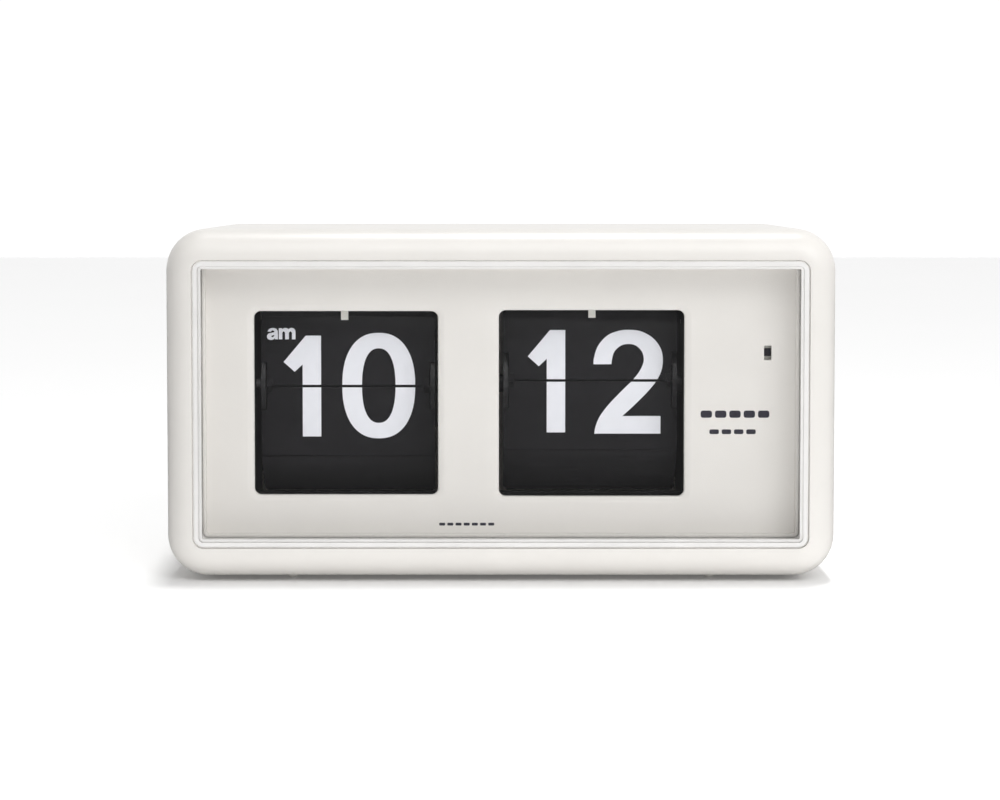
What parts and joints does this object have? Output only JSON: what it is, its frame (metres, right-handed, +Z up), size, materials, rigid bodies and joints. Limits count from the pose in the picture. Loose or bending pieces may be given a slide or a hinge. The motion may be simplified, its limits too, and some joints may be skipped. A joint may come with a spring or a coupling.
{
  "type": "flip number clock",
  "caption": "Free-standing desk clock in a rounded rectangular case: falling number leaves show the hour and minute through a clear front, with a battery door and a setting wheel at the back.",
  "frame": {"origin": "middle of the footprint, at the surface that the feet stand on", "axes": "+Z up, -Y towards the viewer of the dial, +X to that viewer's right"},
  "size_m": [0.21, 0.095, 0.111],
  "materials": {
    "case_cream": "fine satin",
    "dial_cream": "fine matt",
    "clear_plastic": "clear, polished",
    "leaf_black": "satin, with printed light grey digits",
    "drum_grey": "moulded satin",
    "nylon": "moulded matt",
    "steel": "turned bright",
    "zinc_plate": "zinc plated sheet",
    "blackened_steel": "blackened sheet",
    "brass": "stamped",
    "copper_winding": "enamelled winding",
    "magnet": "sintered",
    "board_green": "solder mask",
    "cell_wrap": "printed wrap"
  },
  "bodies": {
    "clock": {"case_shell": "case_cream", "front_lens": "clear_plastic", "dial_plate": "dial_cream", "back_cover": "case_cream", "cover_screw_lower_left": "steel", "cover_screw_upper_left": "steel", "cover_screw_lower_right": "steel", "cover_screw_upper_right": "steel", "front_foot_left": "case_cream", "front_foot_right": "case_cream", "rear_foot_left": "case_cream", "rear_foot_right": "case_cream", "battery_tray": "case_cream", "d_cell": "cell_wrap", "battery_spring": "steel", "positive_contact": "brass", "frame_plate_left": "blackened_steel", "frame_plate_middle": "blackened_steel", "frame_plate_right": "blackened_steel", "movement_plate_inner": "blackened_steel", "movement_plate_outer": "blackened_steel", "upper_rail": "blackened_steel", "lower_rail": "blackened_steel", "upper_rail_screw_left": "steel", "upper_rail_screw_right": "steel", "lower_rail_screw_left": "steel", "lower_rail_screw_right": "steel", "tie_rod": "steel", "drum_arbor": "steel", "hour_lower_leaf": "leaf_black", "hour_waiting_leaves": "leaf_black", "hour_fallen_leaves": "leaf_black", "minute_lower_leaf": "leaf_black", "minute_waiting_leaves": "leaf_black", "minute_fallen_leaves": "leaf_black", "hour_catch_finger": "nylon", "minute_catch_finger": "nylon", "motor_can": "zinc_plate", "motor_coil": "copper_winding", "circuit_board": "board_green"},
    "minute_drum": {"minute_spool": "drum_grey", "minute_flange": "drum_grey", "minute_wheel": "brass"},
    "hour_drum": {"hour_spool": "drum_grey", "hour_flange": "drum_grey", "hour_wheel": "brass"},
    "transfer": {"transfer_arbor": "steel", "transfer_wheel": "brass"},
    "reduction": {"reduction_arbor": "steel", "reduction_wheel": "nylon"},
    "indicator": {"indicator_arbor": "steel", "indicator_wheel": "nylon", "indicator_drum": "nylon"},
    "rotor": {"motor_rotor": "magnet"},
    "idler": {"idler_wheel": "nylon"},
    "setting": {"setting_wheel": "nylon"},
    "hour_leaf": {"hour_upper_leaf": "leaf_black"},
    "minute_leaf": {"minute_upper_leaf": "leaf_black"},
    "door": {"battery_door": "case_cream"}
  },
  "joints": [
    {"name": "minute_drum_turn", "type": "hinge", "parent": "clock", "child": "minute_drum", "pos_m": [0.0288, -0.0103, 0.0596], "axis": [1, 0, 0], "continuous": true},
    {"name": "hour_drum_turn", "type": "hinge", "parent": "clock", "child": "hour_drum", "pos_m": [-0.0492, -0.0103, 0.0596], "axis": [1, 0, 0], "continuous": true},
    {"name": "transfer_turn", "type": "hinge", "parent": "clock", "child": "transfer", "pos_m": [-0.012, 0.00943, 0.05242], "axis": [1, 0, 0], "continuous": true},
    {"name": "reduction_turn", "type": "hinge", "parent": "clock", "child": "reduction", "pos_m": [0.065, -0.00683, 0.0797], "axis": [1, 0, 0], "continuous": true},
    {"name": "indicator_turn", "type": "hinge", "parent": "clock", "child": "indicator", "pos_m": [0.08, -0.021, 0.0715], "axis": [1, 0, 0], "continuous": true},
    {"name": "rotor_turn", "type": "hinge", "parent": "clock", "child": "rotor", "pos_m": [0.075, -0.01717, 0.06098], "axis": [1, 0, 0], "continuous": true},
    {"name": "idler_turn", "type": "hinge", "parent": "clock", "child": "idler", "pos_m": [0.062, 0.0167, 0.0596], "axis": [1, 0, 0], "continuous": true},
    {"name": "setting_turn", "type": "hinge", "parent": "clock", "child": "setting", "pos_m": [0.0725, 0.0317, 0.0596], "axis": [1, 0, 0], "continuous": true},
    {"name": "hour_leaf_flip", "type": "hinge", "parent": "clock", "child": "hour_leaf", "pos_m": [-0.0492, -0.0233, 0.0599], "axis": [1, 0, 0], "range_deg": [0, 180], "deforming": ["hour_catch_finger"]},
    {"name": "minute_leaf_flip", "type": "hinge", "parent": "clock", "child": "minute_leaf", "pos_m": [0.0288, -0.02313, 0.0617], "axis": [1, 0, 0], "range_deg": [0, 180], "deforming": ["minute_catch_finger"]},
    {"name": "battery_door_hinge", "type": "hinge", "parent": "clock", "child": "door", "pos_m": [-0.0472, 0.0432, 0.007], "axis": [-1, 0, 0], "range_deg": [0, 95]}
  ],
  "couplings": [
    {"joint": "hour_drum_turn", "follows": "minute_drum_turn", "ratio": 0.041667},
    {"joint": "transfer_turn", "follows": "minute_drum_turn", "ratio": -0.25},
    {"joint": "reduction_turn", "follows": "minute_drum_turn", "ratio": -7.5},
    {"joint": "indicator_turn", "follows": "minute_drum_turn", "ratio": 60},
    {"joint": "rotor_turn", "follows": "minute_drum_turn", "ratio": -360},
    {"joint": "idler_turn", "follows": "minute_drum_turn", "ratio": -2},
    {"joint": "setting_turn", "follows": "minute_drum_turn", "ratio": 3}
  ]
}
